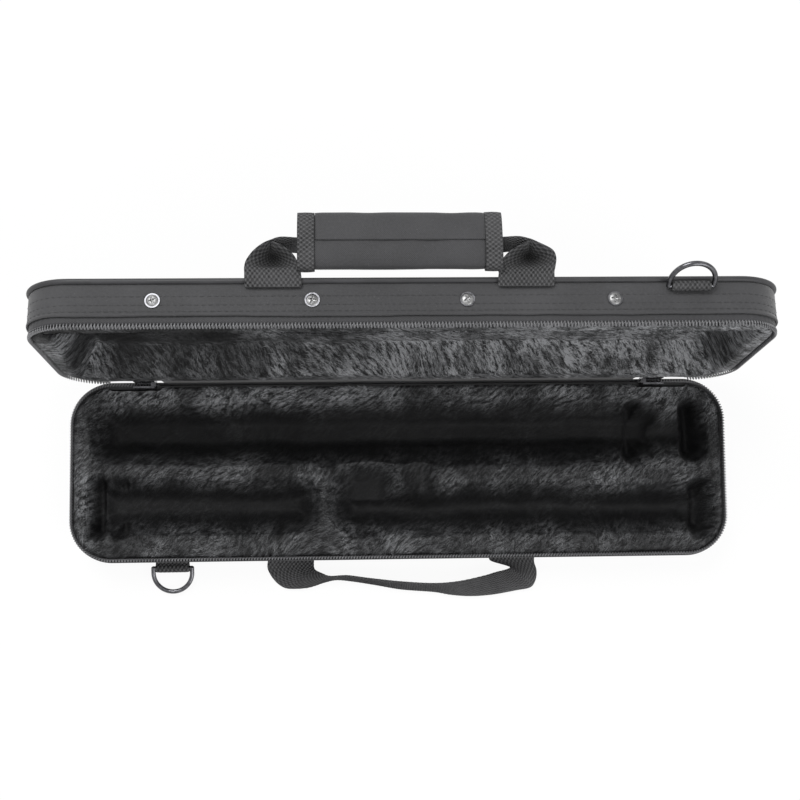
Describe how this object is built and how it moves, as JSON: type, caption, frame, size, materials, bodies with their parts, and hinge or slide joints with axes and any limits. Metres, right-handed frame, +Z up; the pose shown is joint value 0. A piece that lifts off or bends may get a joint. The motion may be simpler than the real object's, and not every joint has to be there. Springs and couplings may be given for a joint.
{
  "type": "flute case",
  "caption": "Zipped soft-covered flute case with a plush fitted tray, a hinged lid, webbing handles with a padded wrap and shoulder-strap rings.",
  "frame": {"origin": "middle of the tray's flat base, on the surface that the case stands on", "axes": "+X along the case to the right as seen from the opening side, +Y from the opening side to the hinge side, +Z up"},
  "size_m": [0.4126, 0.2175, 0.1548],
  "materials": {
    "woven_fabric": "woven nylon, matt",
    "smooth_fabric": "smooth coated fabric, satin",
    "plush": "short pile, soft sheen",
    "webbing": "coarse webbing, matt",
    "coil_plastic": "moulded coil",
    "shell_board": "pressed board",
    "bright_nickel": "bright nickel",
    "dark_nickel": "dark nickel",
    "hook_tape": "hook tape"
  },
  "bodies": {
    "tray": {"tray_base_panel": "woven_fabric", "tray_piping": "smooth_fabric", "tray_wall_cover": "woven_fabric", "tray_shell": "shell_board", "tray_insert": "plush", "tray_zip_tape": "webbing", "tray_zip_coil": "coil_plastic", "tray_hinge_leaf": "woven_fabric", "tray_ring_tab": "webbing"},
    "hinge_gusset": {"hinge_gusset": "woven_fabric"},
    "lid": {"lid_top_panel": "woven_fabric", "lid_piping": "smooth_fabric", "lid_wall_cover": "woven_fabric", "lid_shell": "shell_board", "lid_lining": "plush", "lid_zip_tape": "webbing", "lid_zip_coil": "coil_plastic", "lid_hinge_leaf": "woven_fabric", "lid_screws": "bright_nickel", "lid_screw_collars": "bright_nickel", "lid_screw_nuts": "dark_nickel", "lid_ring_tab": "webbing"},
    "tray_d_ring": {"tray_d_ring": "dark_nickel"},
    "lid_d_ring": {"lid_d_ring": "dark_nickel"},
    "tray_handle": {"tray_handle": "webbing"},
    "lid_handle": {"lid_handle": "webbing", "handle_wrap": "woven_fabric", "wrap_bindings": "webbing", "wrap_hook_patch": "hook_tape"},
    "wrap_flap": {"wrap_flap": "woven_fabric"},
    "zip_slider_left": {"zip_slider_left": "dark_nickel"},
    "zip_slider_right": {"zip_slider_right": "dark_nickel"},
    "zip_pull_left": {"zip_pull_left": "dark_nickel"},
    "zip_pull_right": {"zip_pull_right": "dark_nickel"}
  },
  "joints": [
    {"name": "gusset_fold", "type": "hinge", "parent": "tray", "child": "hinge_gusset", "pos_m": [0, 0.056, 0.0255], "axis": [-1, 0, 0], "range_deg": [0, 80]},
    {"name": "lid_hinge", "type": "hinge", "parent": "hinge_gusset", "child": "lid", "pos_m": [0, 0.056, 0.0325], "axis": [-1, 0, 0], "range_deg": [-100, 5]},
    {"name": "tray_ring_swing", "type": "hinge", "parent": "tray", "child": "tray_d_ring", "pos_m": [-0.1445, -0.0605, 0.0052], "axis": [-1, 0, 0], "range_deg": [-60, 95]},
    {"name": "lid_ring_swing", "type": "hinge", "parent": "lid", "child": "lid_d_ring", "pos_m": [0.151, 0.09416, 0.14183], "axis": [1, 0, 0], "range_deg": [-56, 85]},
    {"name": "tray_handle_swing", "type": "hinge", "parent": "tray", "child": "tray_handle", "pos_m": [0, -0.0564, 0.0046], "axis": [-1, 0, 0], "range_deg": [0, 45]},
    {"name": "lid_handle_swing", "type": "hinge", "parent": "lid", "child": "lid_handle", "pos_m": [-0.004, 0.09467, 0.14012], "axis": [1, 0, 0], "range_deg": [0, 125]},
    {"name": "wrap_flap_open", "type": "hinge", "parent": "lid_handle", "child": "wrap_flap", "pos_m": [-0.004, 0.13379, 0.1385], "axis": [-1, 0, 0], "range_deg": [0, 80]},
    {"name": "slider_left_slide", "type": "slide", "parent": "tray", "child": "zip_slider_left", "axis": [-1, 0, 0], "range_m": [0, 0.0125]},
    {"name": "slider_right_slide", "type": "slide", "parent": "tray", "child": "zip_slider_right", "axis": [1, 0, 0], "range_m": [0, 0.0125]},
    {"name": "pull_left_swing", "type": "hinge", "parent": "zip_slider_left", "child": "zip_pull_left", "pos_m": [-0.158, 0.0585, 0.029], "axis": [-1, 0, 0], "range_deg": [-60, 0]},
    {"name": "pull_right_swing", "type": "hinge", "parent": "zip_slider_right", "child": "zip_pull_right", "pos_m": [0.158, 0.0585, 0.029], "axis": [-1, 0, 0], "range_deg": [-60, 0]}
  ]
}
